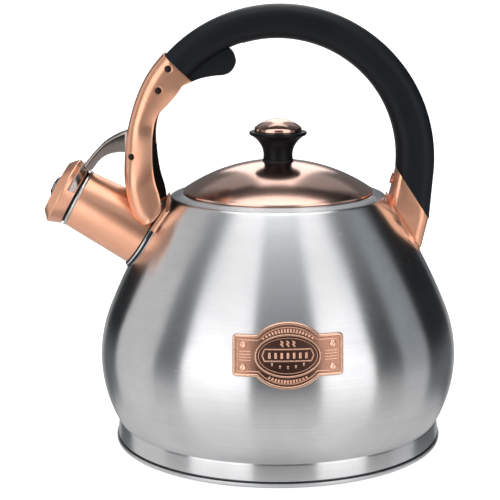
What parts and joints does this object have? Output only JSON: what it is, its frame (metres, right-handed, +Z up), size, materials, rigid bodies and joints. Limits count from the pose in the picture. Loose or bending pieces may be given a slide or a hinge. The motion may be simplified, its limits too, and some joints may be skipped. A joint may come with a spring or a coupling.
{
  "type": "stovetop whistling kettle",
  "caption": "Round-bellied steel stovetop kettle with a black arch grip, a squeeze trigger, a lift-up whistle cap and a copper lift-off lid.",
  "frame": {"origin": "middle of the flat underside, on the hob", "axes": "+Z up through the lid, -X toward the spout, -Y toward the badge"},
  "size_m": [0.2304, 0.2008, 0.2438],
  "materials": {
    "steel_body": "satin, brushed round the body",
    "steel_bright": "polished",
    "base_steel": "satin",
    "aluminium": "matte",
    "copper": "satin copper plating",
    "dark_chrome": "polished",
    "grip_black": "soft-touch matte",
    "knob_black": "satin gloss",
    "seal_black": "matte",
    "badge_copper": "antiqued copper plating",
    "badge_field": "darkened copper"
  },
  "bodies": {
    "kettle": {"body_shell": "steel_body", "heat_spreader": "aluminium", "base_cap": "base_steel", "spout_tube": "copper", "spout_lip": "steel_body", "spout_seal": "seal_black", "spout_collar": "steel_bright", "front_bracket": "copper", "front_foot": "steel_bright", "grip": "grip_black", "rear_bracket": "copper", "rear_foot": "copper", "rear_screw": "steel_bright", "grip_screws": "steel_bright", "trigger_pin": "steel_bright", "whistle_pin": "steel_bright", "trigger_spring": "steel_bright", "badge_plate": "badge_copper", "badge_inlay": "badge_field", "badge_rivets": "badge_copper"},
    "trigger": {"trigger": "grip_black", "trigger_link_pin": "steel_bright"},
    "link": {"link_rod": "dark_chrome"},
    "whistle": {"whistle_arm": "dark_chrome", "whistle_cap": "copper", "whistle_button": "copper", "whistle_disc_front": "dark_chrome", "whistle_disc_rear": "dark_chrome", "whistle_seal": "seal_black", "arm_link_pin": "steel_bright"},
    "lid": {"lid_shell": "copper", "lid_skirt": "steel_bright", "lid_gasket": "seal_black", "lid_knob": "knob_black", "knob_washer": "seal_black", "knob_cap": "copper", "knob_screw": "steel_bright"}
  },
  "joints": [
    {"name": "trigger_squeeze", "type": "hinge", "parent": "kettle", "child": "trigger", "pos_m": [-0.06489, 0, 0.1976], "axis": [0, -1, 0], "range_deg": [0, 15], "stiffness_Nm_per_rad": 0.05, "springref_deg": -11.46},
    {"name": "link_swing", "type": "hinge", "parent": "trigger", "child": "link", "pos_m": [-0.07129, 0, 0.1976], "axis": [0, 1, 0], "range_deg": [0, 15]},
    {"name": "whistle_lift", "type": "hinge", "parent": "kettle", "child": "whistle", "pos_m": [-0.08, 0, 0.1619], "axis": [0, 1, 0], "range_deg": [0, 24]},
    {"name": "lid_lift", "type": "slide", "parent": "kettle", "child": "lid", "axis": [0, 0, 1], "range_m": [0, 0.036]}
  ],
  "couplings": [
    {"joint": "link_swing", "follows": "trigger_squeeze", "ratio": 1},
    {"joint": "whistle_lift", "follows": "trigger_squeeze", "ratio": 1.6}
  ]
}
